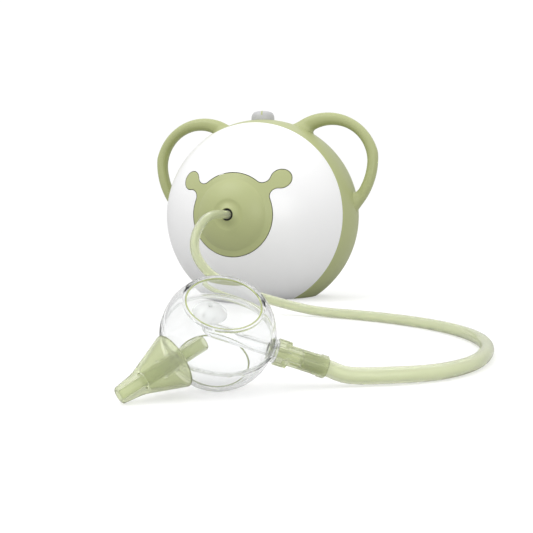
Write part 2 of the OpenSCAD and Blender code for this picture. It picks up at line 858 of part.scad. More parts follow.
// Soft cone with its own inner tube that reaches through the neck into the globe
module nose_cone() {
    color(soft_green) spout_frame(0) rotate_extrude() polygon([
        [1.9, tip_reach], [2.8, tip_reach], [3.4, tip_reach - 0.6],
        [4.4, tip_reach - 7], [5.1, tip_reach - 9.6],
        [11.3, 23.3], [11.4, 22.6], [10.9, 22.2], [10, 22.4], [4.4, 37], [2.95, 38], [2.95, 7.9], [1.9, 7.9]
    ]);
}

module hose_connector() {
    body_rad = 4.45;
    color(green) spout_frame(spout_turn) difference() {
        union() {
            translate([0, 0, connector_in]) cylinder(r = 5.65, h = 5.4);
            translate([0, 0, connector_in]) cylinder(r = body_rad, h = connector_out - connector_in);
            translate([0, 0, connector_out - 3]) cylinder(r = body_rad + 0.35, h = 2.6);
        }
        translate([0, 0, connector_in - 1]) cylinder(r = 2, h = 40);
        translate([0, 0, hose_stop]) cylinder(r = hose_r + 0.08, h = 40);
        // Long windows round the sleeve
        for (a = [0:60:300]) {
            rotate([0, 0, a + 20]) translate([body_rad - 0.5, -1.3, connector_in + 4]) cube([2, 2.6, 13]);
        }
        // Notches round the collar
        for (a = [0:60:300]) {
            rotate([0, 0, a + 50]) translate([5.1, -1.2, connector_in - 1]) cube([2, 2.4, 10]);
        }
    }
}

module connector_seal() {
    color([0.2, 0.2, 0.2]) spout_frame(spout_turn) translate([0, 0, 24.02]) tube(4.3, 2.2, 0.86);
}

front_shell();
back_shell();
ear_handle_right();
ear_handle_left();
face_plate();
base_pad();
shell_screws();
port_ring();
port_spigot();
port_seal();
hose();
inner_suction_tube();
suction_knob();
knob_mark();
control_shaft();
speed_control();
control_nut();
chassis_tray();
chassis_mounts();
motor_can();
motor_endcap();
motor_bearings();
motor_magnets();
motor_armature();
motor_shaft();
cooling_fan();
crank_eccentric();
crank_bearing();
pump_housing();
connecting_rod();
diaphragm();
diaphragm_clamp();
valve_plate();
reed_valves();
pump_head();
pump_screws();
exhaust_tube();
exhaust_muffler();
vent_filter();
circuit_board();
transformer();
capacitors();
heat_sink();
mains_inlet();
inlet_pins();
mains_leads();
motor_leads();
control_leads();
collector_bowl();
collector_cap();
cap_seal();
outlet_tube();
baffle_cup();
nose_cone();
hose_connector();
connector_seal();
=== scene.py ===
import bmesh
import bpy
import json
import math
from mathutils import Matrix, Vector
from mathutils.geometry import delaunay_2d_cdt


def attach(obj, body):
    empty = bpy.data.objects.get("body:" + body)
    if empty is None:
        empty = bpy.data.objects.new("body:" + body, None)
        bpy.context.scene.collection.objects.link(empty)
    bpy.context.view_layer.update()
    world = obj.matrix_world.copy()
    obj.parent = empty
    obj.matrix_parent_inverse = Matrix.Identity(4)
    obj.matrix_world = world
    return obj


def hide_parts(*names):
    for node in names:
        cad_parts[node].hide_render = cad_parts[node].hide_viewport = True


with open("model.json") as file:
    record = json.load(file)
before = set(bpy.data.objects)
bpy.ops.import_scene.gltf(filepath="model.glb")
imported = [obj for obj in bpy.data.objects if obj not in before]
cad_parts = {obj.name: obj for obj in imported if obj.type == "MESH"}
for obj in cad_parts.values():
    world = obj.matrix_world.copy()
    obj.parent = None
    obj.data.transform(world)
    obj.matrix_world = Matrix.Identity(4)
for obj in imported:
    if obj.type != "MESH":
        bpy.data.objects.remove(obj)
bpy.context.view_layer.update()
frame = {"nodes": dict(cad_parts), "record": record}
MM = 0.001

# ---------------------------------------------------------------- camera
camera_data = bpy.data.cameras.new("camera")
camera_data.lens = 50
camera_data.sensor_width = 36
camera_data.clip_start = 0.01
camera_data.clip_end = 50
camera = bpy.data.objects.new("camera", camera_data)
camera.location = (0.2269, -0.6588, 0.06519)
camera.rotation_euler = (math.radians(87.10), 0, math.radians(17.86))
bpy.context.scene.collection.objects.link(camera)
bpy.context.scene.camera = camera
bpy.context.scene.view_settings.view_transform = "Standard"

# ---------------------------------------------------------------- sizes, as the CAD has them, in millimetres
BODY_R = 93.5
CENTRE_Z = 77.5
BALL_Y = 34.0
BACK_Y = 68.0
BACK_ROUND = 16.0
WALL = 2.4
FLOOR_TOP = 4.0
PAD_PROUD = 0.6
PLATE_R = 36.6
EYE_X = 41.8
EYE_UP = 31.2
EYE_R = 8.2
EYE_BLEND = 7.0
PORT_HOLE = 5.3
HEAD_POS = Vector((117, -381, 23.2))
HEAD_TURN = [math.radians(a) for a in (-32.5, 16.5, 239)]
GLOBE_R = 23.5
GLOBE_WALL = 1.4
WINDOW_Z = 16.5
SPOUT_TURN = math.radians(132.5)
SPOUT_DROP = math.radians(10)
HOSE_R = 3.6
HOSE_BORE = 2.2
SCREW_X = 56
SCREW_UP = 44
SCREW_HOLE_R = 3.4
VENT_X = 22
VENT_Z = (34, 60)
VENT_PITCH = 5
VENT_HALF = 1.2
INLET_LOW = (-40.2, 60, 23.8)
INLET_HIGH = (-19.8, 75, 36.2)
KNOB_BASE = 170.2
KNOB_SEAT_R = 12.4
NECK_R = 4.1
RISER_BACK = 5

HEAD = (
    Matrix.Translation(HEAD_POS)
    @ Matrix.Rotation(HEAD_TURN[2], 4, "Z")
    @ Matrix.Rotation(HEAD_TURN[1], 4, "Y")
    @ Matrix.Rotation(HEAD_TURN[0], 4, "X")
)
NOSE = HEAD @ Matrix.Rotation(math.pi / 2 + SPOUT_DROP, 4, "Y")
SPOUT = HEAD @ Matrix.Rotation(SPOUT_TURN, 4, "Z") @ Matrix.Rotation(math.pi / 2 + SPOUT_DROP, 4, "Y")


# ---------------------------------------------------------------- materials
def material(name, build):
    """A node material whose Principled shader build() fills in."""
    mat = bpy.data.materials.new(name)
    mat.use_nodes = True
    nodes = mat.node_tree.nodes
    shader = nodes["Principled BSDF"]
    build(mat.node_tree, shader)
    return mat


def noise(tree, scale, detail=4.0, stretch=None):
    """Object-space noise; stretch draws the grain out along an axis."""
    where = tree.nodes.new("ShaderNodeTexCoord")
    source = where.outputs["Object"]
    if stretch:
        mapping = tree.nodes.new("ShaderNodeMapping")
        mapping.inputs["Scale"].default_value = stretch
        tree.links.new(source, mapping.inputs["Vector"])
        source = mapping.outputs["Vector"]
    texture = tree.nodes.new("ShaderNodeTexNoise")
    texture.inputs["Scale"].default_value = scale
    texture.inputs["Detail"].default_value = detail
    tree.links.new(source, texture.inputs["Vector"])
    return texture.outputs["Fac"]


def ramp(tree, source, low, high, start=0.3, end=0.7):
    node = tree.nodes.new("ShaderNodeValToRGB")
    node.color_ramp.elements[0].position = start
    node.color_ramp.elements[1].position = end
    node.color_ramp.elements[0].color = (*low, 1)
    node.color_ramp.elements[1].color = (*high, 1)
    tree.links.new(source, node.inputs["Fac"])
    return node.outputs["Color"]


def spread(tree, source, low, high):
    node = tree.nodes.new("ShaderNodeMapRange")
    node.inputs["To Min"].default_value = low
    node.inputs["To Max"].default_value = high
    tree.links.new(source, node.inputs["Value"])
    return node.outputs["Result"]


def bump(tree, source, shader, depth, strength=0.5):
    node = tree.nodes.new("ShaderNodeBump")
    node.inputs["Strength"].default_value = strength
    node.inputs["Distance"].default_value = depth
    tree.links.new(source, node.inputs["Height"])
    tree.links.new(node.outputs["Normal"], shader.inputs["Normal"])


def lin(r, g, b):
    """sRGB 0 to 255 as linear colour."""
    return tuple(c / 3294.6 if c <= 10.3 else ((c / 255 + 0.055) / 1.055) ** 2.4 for c in (r, g, b))


def clouded(tree, colour, scale, vary):
    """Colour that drifts by the share vary either way, in soft clouds."""
    base = lin(*colour)
    low = [c * (1 - vary) for c in base]
    high = [min(1, c * (1 + vary)) for c in base]
    return ramp(tree, noise(tree, scale, 3), low, high)


def moulded(name, colour, rough=0.35, vary=0.03, grain=1400, depth=0.00002, strength=0.25,
            stretch=None, **extra):
    """Moulded plastic or rubber: faint cloudy colour, uneven gloss and a fine spark-eroded grain."""
    def build(tree, shader):
        tree.links.new(clouded(tree, colour, 35, vary), shader.inputs["Base Color"])
        gloss = spread(tree, noise(tree, 120, 3), rough * 0.85, rough * 1.15)
        tree.links.new(gloss, shader.inputs["Roughness"])
        bump(tree, noise(tree, grain, 2, stretch), shader, depth, strength)
        for key, value in extra.items():
            shader.inputs[key.replace("_", " ")].default_value = value
    return material(name, build)


def metal(name, colour, rough=0.3, stretch=(1, 1, 30)):
    """Turned or drawn metal with fine lines and blotchy polish."""
    def build(tree, shader):
        base = lin(*colour)
        lines = noise(tree, 500, 3, stretch)
        tree.links.new(ramp(tree, lines, [c * 0.85 for c in base], base), shader.inputs["Base Color"])
        tree.links.new(spread(tree, noise(tree, 90, 3), rough * 0.8, rough * 1.3), shader.inputs["Roughness"])
        shader.inputs["Metallic"].default_value = 1
        bump(tree, lines, shader, 0.00002, 0.3)
    return material(name, build)


def clear(name, tint=(0.975, 0.98, 0.98), ior=1.13):
    """Clear moulded plastic: bends light little, with a hard gloss and the faintest surface waves."""
    def build(tree, shader):
        cloud = noise(tree, 60, 2)
        tree.links.new(ramp(tree, cloud, [c * 0.99 for c in tint], tint), shader.inputs["Base Color"])
        shader.inputs["Roughness"].default_value = 0.02
        shader.inputs["Transmission Weight"].default_value = 1
        shader.inputs["IOR"].default_value = ior
        shader.inputs["Coat Weight"].default_value = 0.5
        shader.inputs["Coat Roughness"].default_value = 0.02
        bump(tree, noise(tree, 40, 1), shader, 0.00004, 0.15)
    return material(name, build)


def silicone(name, colour, through, rough=0.2, ior=1.25, vary=0.02):
    """Soft see-through silicone: tinted, with a satin skin and faint flow lines."""
    def build(tree, shader):
        tree.links.new(clouded(tree, colour, 70, vary), shader.inputs["Base Color"])
        gloss = spread(tree, noise(tree, 250, 3), rough * 0.8, rough * 1.2)
        tree.links.new(gloss, shader.inputs["Roughness"])
        shader.inputs["Transmission Weight"].default_value = through
        shader.inputs["IOR"].default_value = ior
        bump(tree, noise(tree, 700, 2), shader, 0.00002, 0.2)
    return material(name, build)


WHITE_SHELL = moulded(
    "white_shell", (235, 235, 235), rough=0.30, vary=0.006, strength=0.12, Coat_Weight=0.15, Coat_Roughness=0.15
)
GREEN_SHELL = moulded("green_shell", (168, 174, 123), rough=0.42, vary=0.015, strength=0.2)
KNOB_GREY = moulded("knob_grey", (184, 184, 185), rough=0.38, vary=0.01)
BLACK_PLASTIC = moulded("black_plastic", (26, 26, 27), rough=0.45)
WHITE_PLASTIC = moulded("white_plastic", (222, 222, 217), rough=0.4)
GREY_RUBBER = moulded("grey_rubber", (92, 95, 90), rough=0.8, grain=900, depth=0.00006, strength=0.5)
BLACK_RUBBER = moulded("black_rubber", (22, 22, 23), rough=0.7, grain=900, depth=0.00005, strength=0.5)
BOARD = moulded("board", (38, 98, 66), rough=0.35, vary=0.12, grain=2200)
FERRITE = moulded("ferrite", (50, 50, 54), rough=0.6, vary=0.1)
YELLOW_WRAP = moulded("yellow_wrap", (214, 196, 92), rough=0.35, stretch=(1, 1, 12))
CAPACITOR = moulded("capacitor_blue", (30, 36, 88), rough=0.3)
LEAD_BROWN = moulded("lead_brown", (112, 72, 46), rough=0.4)
LEAD_RED = moulded("lead_red", (172, 40, 34), rough=0.4)
LEAD_WHITE = moulded("lead_white", (225, 225, 218), rough=0.4)
FOAM = moulded("foam", (58, 58, 58), rough=0.95, vary=0.4, grain=600, depth=0.0006, strength=1.0)
STEEL = metal("steel", (196, 198, 200), 0.28)
ALLOY = metal("cast_alloy", (170, 172, 176), 0.5, (1, 1, 1))
BRASS = metal("brass", (206, 178, 106), 0.25)
COPPER = metal("copper", (190, 116, 74), 0.4, (20, 1, 1))
CLEAR = clear("clear_plastic")
CLEAR_SILICONE = silicone("clear_silicone", (250, 251, 249), 0.9, 0.2, 1.1)
HOSE_SILICONE = silicone("hose_silicone", (234, 238, 212), 0.7, 0.16, 1.25)
CONE_SILICONE = silicone("cone_silicone", (224, 229, 198), 0.8, 0.14, 1.2)
CONNECTOR_GREEN = silicone("connector_green", (222, 227, 196), 0.82, 0.06, 1.3)
# Painted reflection: the window rings' green tint stands in for the green hose seen through the clear globe
RING_PAINTED_REFLECTION = silicone("ring_painted_reflection", (196, 205, 146), 0.5, 0.2, 1.2)
MILKY = silicone("milky_plastic", (250, 251, 250), 0.6, 0.25, 1.2)

SLOTS = {
    "white_shell": WHITE_SHELL, "green_shell": GREEN_SHELL, "knob_grey": KNOB_GREY,
    "black_plastic": BLACK_PLASTIC, "white_plastic": WHITE_PLASTIC, "grey_rubber": GREY_RUBBER,
    "black_rubber": BLACK_RUBBER, "board": BOARD,
    "ferrite": FERRITE, "yellow_wrap": YELLOW_WRAP, "capacitor_blue": CAPACITOR, "lead_brown": LEAD_BROWN,
    "lead_red": LEAD_RED, "lead_white": LEAD_WHITE, "foam": FOAM, "steel": STEEL, "cast_alloy": ALLOY,
    "brass": BRASS, "copper": COPPER, "clear_plastic": CLEAR, "clear_silicone": CLEAR_SILICONE,
    "green_silicone": HOSE_SILICONE,
}
def finish_node(name, mat):
    """Gives a CAD node its material."""
    slots = frame["nodes"][name].data.materials
    slots.clear()
    slots.append(mat)


for part in frame["record"]["subparts"]:
    finish_node(part["node"], SLOTS[part["material_slot"]])


# ---------------------------------------------------------------- mesh helpers
def build(name, verts, faces, mat, body=None, sharp=35, weld=0.002, place=None, flatten=None):
    """A clean, outward-facing mesh object from points in millimetres."""
    bm = bmesh.new()
    made = [bm.verts.new(place @ Vector(v) if place else Vector(v)) for v in verts]
    for f in faces:
        if len(set(f)) > 2:
            try:
                bm.faces.new([made[i] for i in f])
            except ValueError:
                pass
    bmesh.ops.remove_doubles(bm, verts=bm.verts, dist=weld)
    if flatten is not None:
        whole = list(bm.verts) + list(bm.edges) + list(bm.faces)
        bmesh.ops.bisect_plane(bm, geom=whole, dist=1e-4, plane_co=(0, 0, flatten), plane_no=(0, 0, 1))
        for v in bm.verts:
            v.co.z = max(v.co.z, flatten)
    bmesh.ops.recalc_face_normals(bm, faces=bm.faces)
    for v in bm.verts:
        v.co *= MM
    for f in bm.faces:
        f.smooth = True
    mesh = bpy.data.meshes.new(name)
    bm.to_mesh(mesh)
    bm.free()
    mesh.set_sharp_from_angle(angle=math.radians(sharp))
    mesh.materials.append(mat)
    obj = bpy.data.objects.new(name, mesh)
    bpy.context.scene.collection.objects.link(obj)
    if body:
        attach(obj, body)
    return obj


def circle(r, count):
    """Points evenly round a circle, as (x, y)."""
    return [
        (r * math.cos(2 * math.pi * k / count), r * math.sin(2 * math.pi * k / count))
        for k in range(count)
    ]


def revolved(profile, count=96, loop=False):
    """Vertices and faces of (radius, height) points turned round Z."""
    verts, rings, faces = [], [], []
    for r, h in profile:
        start = len(verts)
        if r < 1e-6:
            verts.append((0, 0, h))
            rings.append([start] * count)
        else:
            verts += [(x, y, h) for x, y in circle(r, count)]
            rings.append(list(range(start, start + count)))
    pairs = list(zip(rings, rings[1:])) + ([(rings[-1], rings[0])] if loop else [])
    for a, b in pairs:
        for k in range(count):
            n = (k + 1) % count
            face = []
            for i in (a[k], a[n], b[n], b[k]):
                if i not in face:
                    face.append(i)
            if len(face) > 2:
                faces.append(face)
    return verts, faces


def arc(cx, cy, r, a0, a1, n):
    """Points from angle a0 to a1, in degrees."""
    angles = [math.radians(a0 + (a1 - a0) * i / n) for i in range(n + 1)]
    return [(cx + r * math.cos(a), cy + r * math.sin(a)) for a in angles]


def block(name, low, high, place=None):
    """Closed box used only for cutting."""
    x0, y0, z0 = low
    x1, y1, z1 = high
    verts = [(x, y, z) for z in (z0, z1) for x, y in ((x0, y0), (x1, y0), (x1, y1), (x0, y1))]
    faces = [(3, 2, 1, 0), (4, 5, 6, 7), (0, 1, 5, 4), (1, 2, 6, 5), (2, 3, 7, 6), (3, 0, 4, 7)]
    return build(name, verts, faces, BLACK_PLASTIC, place=place)


def rod(name, r, h0, h1, place, count=48):
    """Closed cylinder used only for cutting or joining."""
    verts, faces = revolved([(0, h0), (r, h0), (r, h1), (0, h1)], count)
    return build(name, verts, faces, BLACK_PLASTIC, place=place)


def boolean(obj, tools, operation, sharp=35):
    """Joins or cuts obj with closed tools, which are then removed."""
    for tool in tools:
        step = obj.modifiers.new("cut", "BOOLEAN")
        step.operation = operation
        step.solver = "EXACT"
        step.object = tool
        bpy.context.view_layer.update()
        done = bpy.data.meshes.new_from_object(obj.evaluated_get(bpy.context.evaluated_depsgraph_get()))
        obj.modifiers.clear()
        old = obj.data
        obj.data = done
        bpy.data.meshes.remove(old)
        bpy.data.objects.remove(tool)
    keep = obj.data.materials[0]
    obj.data.materials.clear()
    obj.data.materials.append(keep)
    for poly in obj.data.polygons:
        poly.material_index = 0
        poly.use_smooth = True
    obj.data.set_sharp_from_angle(angle=math.radians(sharp))
    return obj


def ball_front(r):
    return math.sqrt(BODY_R ** 2 - r ** 2) - BALL_Y


FACE = Matrix.Translation((0, 0, CENTRE_Z)) @ Matrix.Rotation(math.pi / 2, 4, "X")


# ---------------------------------------------------------------- hose, along the CAD's centre line
def spout_point(s):
    return tuple(SPOUT @ Vector((0, 0, s)))


ROUTE = [
    (0, -57, 77.5), (0, -66, 77.5), (0, -80, 77.5), (0, -93.5, 77), (0, -104.5, 75.3),
    (-0.2, -114, 72.4), (-0.7, -122, 67.7), (-1.3, -128.8, 61.1), (-0.6, -133.4, 53.1), (2.1, -135.8, 45),
    (6.9, -136.3, 37.6), (13.2, -135.2, 31), (21.2, -133, 25.5), (30.6, -130.3, 20.7), (40.5, -127.5, 16.5),
    (51, -124.5, 13.1), (64, -122.5, 9.6), (77, -122.5, 6.7), (91, -124.5, 4.6), (106, -128.5, 3.7),
    (121, -133.5, 3.6), (137, -140.5, 3.6), (153, -149.5, 3.6), (169, -161, 3.6), (184, -175, 3.6),
    (197, -191.5, 3.6), (207.5, -211, 3.6), (215, -233, 3.6), (218.5, -256, 3.6), (218.5, -279, 3.6),
    (215.5, -301, 3.6), (209, -320, 3.6), (199, -335.5, 3.6), (184.5, -347.8, 3.9),
    spout_point(58), spout_point(47), spout_point(36),
]


def smooth_line(points, steps):
    """Catmull-Rom line through the points."""
    p = [Vector(q) for q in points]
    p = [2 * p[0] - p[1]] + p + [2 * p[-1] - p[-2]]
    line = []
    for i in range(1, len(p) - 2):
        for s in range(steps):
            t = s / steps
            slope = p[i + 1] - p[i - 1]
            square = 2 * p[i - 1] - 5 * p[i] + 4 * p[i + 1] - p[i + 2]
            cube = 3 * p[i] - p[i - 1] - 3 * p[i + 1] + p[i + 2]
            line.append(0.5 * (2 * p[i] + slope * t + square * t * t + cube * t ** 3))
    line.append(p[-2])
    return line


def piped(line, outer, inner, sides):
    """Hollow tube along a line: outer skin, bore and ring-shaped ends."""
    verts, faces, rings = [], [], {}
    way = (line[1] - line[0]).normalized()
    up = way.orthogonal().normalized()
    for r in (outer, inner):
        rings[r] = []
    for i, p in enumerate(line):
        way = (line[min(i + 1, len(line) - 1)] - line[max(i - 1, 0)]).normalized()
        up = (up - up.dot(way) * way).normalized()
        side = way.cross(up)
        for r in (outer, inner):
            rings[r].append(len(verts))
            verts += [p + r * (x * up + y * side) for x, y in circle(1, sides)]
    for r in (outer, inner):
        for a, b in zip(rings[r], rings[r][1:]):
            faces += [(a + k, a + (k + 1) % sides, b + (k + 1) % sides, b + k) for k in range(sides)]
    for end in (0, -1):
        a, b = rings[outer][end], rings[inner][end]
        faces += [(a + k, a + (k + 1) % sides, b + (k + 1) % sides, b + k) for k in range(sides)]
    return verts, faces


LINE = smooth_line(ROUTE, 4)
hose = build("hose_tube", *piped(LINE, HOSE_R, HOSE_BORE, 32), HOSE_SILICONE, "housing", weld=0.0001)
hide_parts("hose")

# ---------------------------------------------------------------- front shell and face plate


def outline(grow):
    """Edge of the face plate, grown outwards, as matching points for every grow."""
    lean = math.degrees(math.atan2(EYE_UP, EYE_X))
    reach = math.hypot(EYE_X, EYE_UP)
    a, b = PLATE_R + EYE_BLEND, EYE_R + EYE_BLEND
    part = math.degrees(math.acos((a * a + reach * reach - b * b) / (2 * a * reach)))
    low = (a * math.cos(math.radians(lean - part)), a * math.sin(math.radians(lean - part)))
    high = (a * math.cos(math.radians(lean + part)), a * math.sin(math.radians(lean + part)))
    to_low = math.degrees(math.atan2(EYE_UP - low[1], EYE_X - low[0]))
    to_high = math.degrees(math.atan2(EYE_UP - high[1], EYE_X - high[0]))
    right = (
        arc(0, 0, PLATE_R + grow, -90, lean - part, 44)
        + arc(*low, EYE_BLEND - grow, lean - part + 180, to_low, 14)[1:]
        + arc(EYE_X, EYE_UP, EYE_R + grow, to_low + 180, to_high + 540, 36)[1:]
        + arc(*high, EYE_BLEND - grow, to_high, lean + part - 180, 14)[1:]
        + arc(0, 0, PLATE_R + grow, lean + part, 90, 16)[1:]
    )
    left = [(-x, y) for x, y in reversed(right)]
    return right + left[1:-1]


def inside(x, y, loop):
    hit = False
    for (x0, y0), (x1, y1) in zip(loop, loop[1:] + loop[:1]):
        if (y0 > y) != (y1 > y) and x < (x1 - x0) * (y - y0) / (y1 - y0) + x0:
            hit = not hit
    return hit


def near(x, y, loop, gap):
    return any((x - px) ** 2 + (y - py) ** 2 < gap * gap for px, py in loop)


def filled(loop, ring_r, ring_count, step, outside):
    """Flat triangles between the plate's outline and a circle."""
    ring = circle(ring_r, ring_count)
    points = list(loop) + ring
    r_from, r_to = (PLATE_R, ring_r) if outside else (ring_r, EYE_X + EYE_R + 12)
    r = r_from + step
    while r < r_to - step * 0.6:
        for x, y in circle(r, int(2 * math.pi * r / step)):
            if inside(x, y, loop) != outside and not near(x, y, loop, step * 0.7):
                points.append((x, y))
        r += step
    m = len(loop)
    edges = [(i, (i + 1) % m) for i in range(m)]
    edges += [(m + i, m + (i + 1) % ring_count) for i in range(ring_count)]
    flat, _, tris, *_ = delaunay_2d_cdt([Vector(p) for p in points], edges, [], 0, 1e-5)
    kept = []
    for tri in tris:
        x = sum(flat[i][0] for i in tri) / 3
        y = sum(flat[i][1] for i in tri) / 3
        in_loop, in_ring = inside(x, y, loop), math.hypot(x, y) < ring_r
        if (outside and in_ring and not in_loop) or (not outside and in_loop and not in_ring):
            kept.append(tuple(tri))
    return [tuple(v) for v in flat], kept


def lipped(edge_steps, fill, lift):
    """The filled surface with a rounded lip of outline loops beside it."""
    flat, faces = fill
    verts = [(x, y, lift(math.hypot(x, y))) for x, y in flat]
    faces = list(faces)
    before = None
    for grow, drop in edge_steps:
        loop = outline(grow)
        start = len(verts)
        verts += [(x, y, lift(math.hypot(x, y)) - drop) for x, y in loop]
        if before is not None:
            n = len(loop)
            faces += [(before + i, before + (i + 1) % n, start + (i + 1) % n, start + i) for i in range(n)]
        before = start
    return verts, faces


def solidify(obj, thickness):
    """Gives a skin its thickness, inwards."""
    step = obj.modifiers.new("wall", "SOLIDIFY")
    step.thickness = thickness * MM
    step.offset = -1


def with_revolved(verts, faces, profile, count):
    """Adds a revolved surface to the vertices and faces."""
    more, more_faces = revolved(profile, count)
    offset = len(verts)
    return verts + more, faces + [tuple(i + offset for i in f) for f in more_faces]


# The outlines' fill runs out to this circle; a revolved surface carries on from it to the rim
RING_R, RING_N = 66.0, 192
SKIN = 0.5
verts, faces = lipped(
    [(1.3, 0), (0.95, 0), (0.75, 0), (0.62, 0.03), (0.54, 0.11), (0.5, 0.3), (0.5, 0.9)],
    filled(outline(1.3), RING_R, RING_N, 3.2, True), ball_front,
)
RIM_STEPS = 14
rim_from, rim_to = math.asin(RING_R / BODY_R), math.acos((BALL_Y + 0.8) / BODY_R)
rim = []
for i in range(RIM_STEPS + 1):
    a = rim_from + (rim_to - rim_from) * i / RIM_STEPS
    rim.append((BODY_R * math.sin(a), BODY_R * math.cos(a) - BALL_Y))
edge_r = math.sqrt(BODY_R ** 2 - BALL_Y ** 2)
rim += [(edge_r - 0.12, 0.42), (edge_r - 0.35, 0.22), (edge_r - 0.8, 0.2)]
verts, faces = with_revolved(verts, faces, rim, RING_N)
front = build("front_shell_skin", verts, faces, WHITE_SHELL, "housing", place=FACE, flatten=PAD_PROUD)
solidify(front, SKIN)
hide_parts("front_shell")

# Height of the plate's dome above the ball at each radius, down into the dish round the port
DOME_R = 31.7
PLATE_N = 160
PLATE_PROFILE = [
    (DOME_R, 0.12), (31.4, 0.15), (31.0, 0.35), (30.2, 0.85), (29, 1.5), (26.8, 2.45), (24, 3.35),
    (21, 4.05), (18, 4.55), (15.5, 4.85), (14.2, 4.96), (13.6, 4.98), (13.2, 4.9), (12.4, 4.7),
    (11, 4.5), (10, 4.52), (9, 4.7), (7.8, 5.15), (7, 5.6),
]
crown = [(r, ball_front(r) + up) for r, up in PLATE_PROFILE]
crown += [(6.4, 65.42), (6.0, 65.68), (5.65, 65.78), (5.42, 65.66), (PORT_HOLE, 65.35), (PORT_HOLE, 63.4)]


def plate_lift(r):
    """The plate stands a hair proud of the ball at its dome, and flush 3 mm further out."""
    proud, flat_from, fade = 0.12, 32, 3
    return ball_front(min(r, 62)) + (proud if r < flat_from else proud * max(0, 1 - (r - flat_from) / fade))


verts, faces = lipped(
    [(-1.3, 0), (-0.9, 0), (-0.6, 0), (-0.34, 0.03), (-0.14, 0.11), (-0.03, 0.3), (0, 0.9)],
    filled(outline(-1.3), DOME_R, PLATE_N, 2.6, False), plate_lift,
)
verts, faces = with_revolved(verts, faces, crown, PLATE_N)
plate = build("face_plate_skin", verts, faces, GREEN_SHELL, "housing", place=FACE)
solidify(plate, SKIN)
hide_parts("face_plate")

# ---------------------------------------------------------------- back shell with the ear handles
BACK = Matrix.Translation((0, 0, CENTRE_Z)) @ Matrix.Rotation(-math.pi / 2, 4, "X")


def back_profile(inset, first):
    """(radius, depth behind the parting plane) from the rim to the middle of the back."""
    ball, bend = BODY_R - inset, BACK_ROUND - inset
    bend_y = BACK_Y - BACK_ROUND
    bend_r = math.sqrt((BODY_R - BACK_ROUND) ** 2 - (bend_y - BALL_Y) ** 2)
    meet = math.degrees(math.atan2(bend_y - BALL_Y, bend_r))
    start = math.degrees(math.asin((first - BALL_Y) / ball))
    points = arc(0, BALL_Y, ball, start, meet, 30) + arc(bend_r, bend_y, bend, meet, 90, 12)[1:]
    return points + [(bend_r * k, bend_y + bend) for k in (0.9, 0.75, 0.6, 0.45, 0.3, 0.15, 0)]


outer = [(edge_r - 0.8, 0.2), (edge_r - 0.3, 0.22), (edge_r + 0.0, 0.4)] + back_profile(0, 0.8)
inner = list(reversed(back_profile(WALL, 0.2)))
verts, faces = revolved(outer + inner, 224, loop=True)
# The inside has a flat floor of its own, above the underside
outside = len(revolved(outer, 224)[0])
for i in range(outside, len(verts)):
    x, y, z = BACK @ Vector(verts[i])
    verts[i] = BACK.inverted() @ Vector((x, y, max(z, FLOOR_TOP)))
back = build("back_shell_skin", verts, faces, GREEN_SHELL, place=BACK, flatten=PAD_PROUD)
cuts = []
for i in range(-3, 4):
    x = VENT_X + VENT_PITCH * i
    cuts.append(block(f"slot_{i}", (x - VENT_HALF, 60, VENT_Z[0]), (x + VENT_HALF, 75, VENT_Z[1])))
cuts.append(block("inlet_hole", INLET_LOW, INLET_HIGH))
for sx in (-SCREW_X, SCREW_X):
    for up in (-SCREW_UP, SCREW_UP):
        hole = Matrix.Translation((sx, 0, CENTRE_Z + up)) @ Matrix.Rotation(math.pi / 2, 4, "X")
        cuts.append(rod("screw_hole", SCREW_HOLE_R, -75, -40, hole))
knob_axis = Matrix.Translation((0, BALL_Y, 0))
cuts.append(rod("knob_dish", KNOB_SEAT_R, KNOB_BASE - 0.5, 185, knob_axis, 96))
boolean(back, cuts, "DIFFERENCE")
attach(back, "housing")
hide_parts("back_shell")

EAR_MID = (62.0, 128.3)
EAR_Y = 34.0
EAR_HALF = 6.5


def exit_from(cx, cz, r, angle):
    """Distance from EAR_MID along angle to where the ray leaves a circle."""
    dx, dz = math.cos(angle), math.sin(angle)
    ox, oz = EAR_MID[0] - cx, EAR_MID[1] - cz
    b = ox * dx + oz * dz
    return -b + math.sqrt(b * b - (ox * ox + oz * oz - r * r))


def ear(side):
    """Loop handle of rounded section that flares into the ball where it meets it."""
    verts, faces = [], []
    count, around = 120, 32
    ball = Vector((0, BALL_Y, CENTRE_Z))
    for i in range(count + 1):
        angle = math.radians(158 - (158 + 82) * i / count)
        far = min(exit_from(63, 124.3, 51.3, angle), exit_from(43.2, 131.3, 69.8, angle))
        above, below = exit_from(67.6, 128.3, 35.5, angle), exit_from(50, 130.3, 53, angle)
        mix = min(1, max(0, (math.degrees(angle) + 14) / 28))
        mix = mix * mix * (3 - 2 * mix)
        close = above * mix + below * (1 - mix)
        mid, half = (far + close) / 2, (far - close) / 2
        for k in range(around):
            t = 2 * math.pi * k / around
            c, s = math.cos(t), math.sin(t)
            power = 0.88
            out = math.copysign(abs(c) ** power, c)
            deep = math.copysign(abs(s) ** power, s)
            r = mid + half * out
            x, z = EAR_MID[0] + r * math.cos(angle), EAR_MID[1] + r * math.sin(angle)
            p = Vector((x, EAR_Y + EAR_HALF * deep, z))
            away = p - ball
            d = away.length - BODY_R
            away.normalize()
            normal = Vector((c * math.cos(angle), s, c * math.sin(angle)))
            reach = 6.0
            share = max(0.0, min(1.0, 1 - d / reach))
            flare = 5.0 * (1 - math.sqrt(1 - share * share))
            slide = normal - normal.dot(away) * away
            p += slide * flare * (1.0 if normal.dot(away) < 0.3 else 0.5)
            verts.append((side * p.x, p.y, p.z))
    for i in range(count):
        a, b = i * around, (i + 1) * around
        faces += [(a + k, a + (k + 1) % around, b + (k + 1) % around, b + k) for k in range(around)]
    faces += [tuple(range(around)), tuple(count * around + k for k in range(around))]
    obj = build(f"ear_{'right' if side > 0 else 'left'}_loop", verts, faces, GREEN_SHELL, "housing", sharp=60)
    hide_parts(f"ear_handle_{'right' if side > 0 else 'left'}")
    return obj


